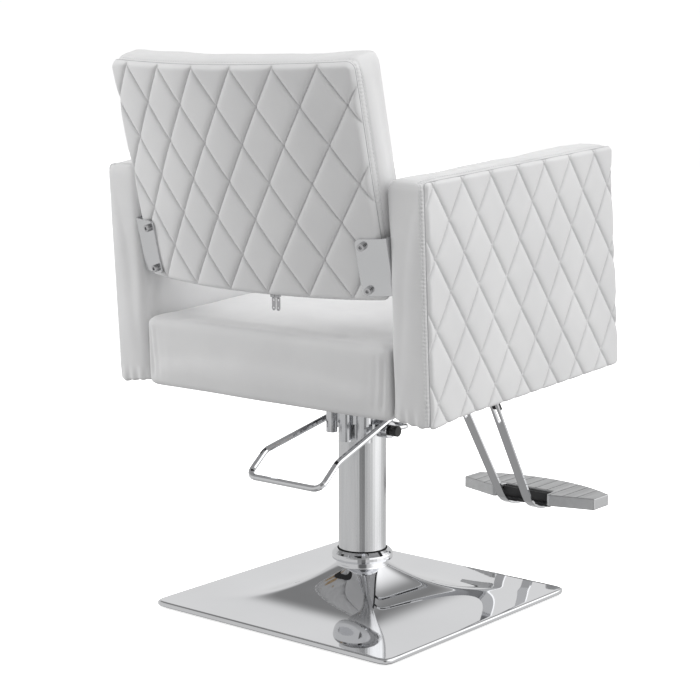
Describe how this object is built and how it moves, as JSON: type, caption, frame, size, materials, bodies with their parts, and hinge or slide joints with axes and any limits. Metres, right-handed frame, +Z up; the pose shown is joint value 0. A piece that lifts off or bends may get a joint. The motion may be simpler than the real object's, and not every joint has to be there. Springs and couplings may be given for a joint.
{
  "type": "styling chair",
  "caption": "Hydraulic salon styling chair: square pressed base, swivelling lift column with pump lever, box arms, quilted back and fixed footrest.",
  "frame": {"origin": "on the column's axis at floor level, which is the middle of the base's centre foot", "axes": "+Z up, -Y towards the front where the footrest is, +X towards the sitter's left arm"},
  "size_m": [0.6176, 0.8904, 0.8751],
  "materials": {
    "chrome": "bright polished chrome plate",
    "brushed_column": "satin, polished round the tube",
    "plain_steel": "plain machined steel",
    "fasteners": "zinc plated",
    "black_steel": "black powder coat",
    "cast_aluminium": "polished casting with a grooved top",
    "bronze": "machined bronze",
    "black_rubber": "matte moulded rubber",
    "black_plastic": "moulded, fine texture",
    "plywood": "unfinished birch plywood",
    "white_leather": "white upholstery leather, fine grain, self-coloured stitching",
    "dust_cloth": "black non-woven cloth",
    "zip_metal": "nickel plated die casting"
  },
  "bodies": {
    "base": {"base_shell": "chrome", "base_floor_plate": "black_steel", "base_hub": "plain_steel", "swivel_bearing": "plain_steel", "spindle_bush": "bronze", "collar_ring": "chrome", "dust_seal": "black_rubber", "foot_front_left": "black_rubber", "foot_front_right": "black_rubber", "foot_rear_left": "black_rubber", "foot_rear_right": "black_rubber", "foot_centre": "black_rubber"},
    "spindle": {"piston_rod": "chrome", "piston": "plain_steel"},
    "chair": {"arm_board_left": "plywood", "arm_board_right": "plywood", "arm_pad_left": "white_leather", "arm_pad_right": "white_leather", "arm_screw_left_lower": "fasteners", "arm_screw_left_upper": "fasteners", "arm_screw_right_lower": "fasteners", "arm_screw_right_upper": "fasteners", "back_board": "plywood", "back_bracket_left": "chrome", "back_bracket_right": "chrome", "back_pad": "white_leather", "back_quilted_panel": "white_leather", "back_screw_left_lower": "fasteners", "back_screw_left_upper": "fasteners", "back_screw_right_lower": "fasteners", "back_screw_right_upper": "fasteners", "column_tube": "brushed_column", "cylinder_gland": "plain_steel", "cylinder_tube": "plain_steel", "dust_cover": "dust_cloth", "footplate": "cast_aluminium", "footplate_bracket": "black_steel", "footrest_bar_left": "chrome", "footrest_bar_right": "chrome", "footrest_bolt_left": "fasteners", "footrest_bolt_right": "fasteners", "footrest_hanger": "black_steel", "lever_end_cap_left": "black_plastic", "lever_end_cap_right": "black_plastic", "plunger_spring": "plain_steel", "pump_bolt_front_left": "fasteners", "pump_bolt_front_right": "fasteners", "pump_bolt_rear_left": "fasteners", "pump_bolt_rear_right": "fasteners", "pump_head": "chrome", "seat_board": "plywood", "seat_cushion": "white_leather", "seat_mounting_plate": "plain_steel", "tie_bar_rear": "black_steel"},
    "lever": {"pump_lever": "chrome"},
    "plunger": {"pump_plunger": "plain_steel"},
    "zip_slider_left": {"zip_slider_left": "zip_metal"},
    "zip_slider_right": {"zip_slider_right": "zip_metal"},
    "zip_pull_left": {"zip_pull_left": "zip_metal"},
    "zip_pull_right": {"zip_pull_right": "zip_metal"}
  },
  "joints": [
    {"name": "swivel", "type": "hinge", "parent": "base", "child": "spindle", "pos_m": [0, 0, 0], "axis": [0, 0, 1], "continuous": true},
    {"name": "lift", "type": "slide", "parent": "spindle", "child": "chair", "axis": [0, 0, 1], "range_m": [0, 0.13]},
    {"name": "lever_pump", "type": "hinge", "parent": "chair", "child": "lever", "pos_m": [0, 0, 0.287], "axis": [-1, 0, 0], "range_deg": [0, 18], "stiffness_Nm_per_rad": 3, "springref_deg": -20.05, "deforming": ["plunger_spring"]},
    {"name": "plunger_stroke", "type": "slide", "parent": "chair", "child": "plunger", "axis": [0, 0, 1], "range_m": [0, 0.018]},
    {"name": "zip_left_run", "type": "hinge", "parent": "chair", "child": "zip_slider_left", "pos_m": [0, -0.73249, 0.76373], "axis": [0, -0.2363, -0.9717], "range_deg": [0, 13]},
    {"name": "zip_left_swing", "type": "hinge", "parent": "zip_slider_left", "child": "zip_pull_left", "pos_m": [-0.03, 0.24137, 0.51946], "axis": [1, 0, 0], "range_deg": [-60, 60]},
    {"name": "zip_right_run", "type": "hinge", "parent": "chair", "child": "zip_slider_right", "pos_m": [0, -0.73249, 0.76373], "axis": [0, 0.2363, 0.9717], "range_deg": [0, 9.5]},
    {"name": "zip_right_swing", "type": "hinge", "parent": "zip_slider_right", "child": "zip_pull_right", "pos_m": [-0.0388, 0.24137, 0.51946], "axis": [1, 0, 0], "range_deg": [-60, 60]}
  ],
  "couplings": [
    {"joint": "plunger_stroke", "follows": "lever_pump", "m_per_rad": 0.056}
  ]
}
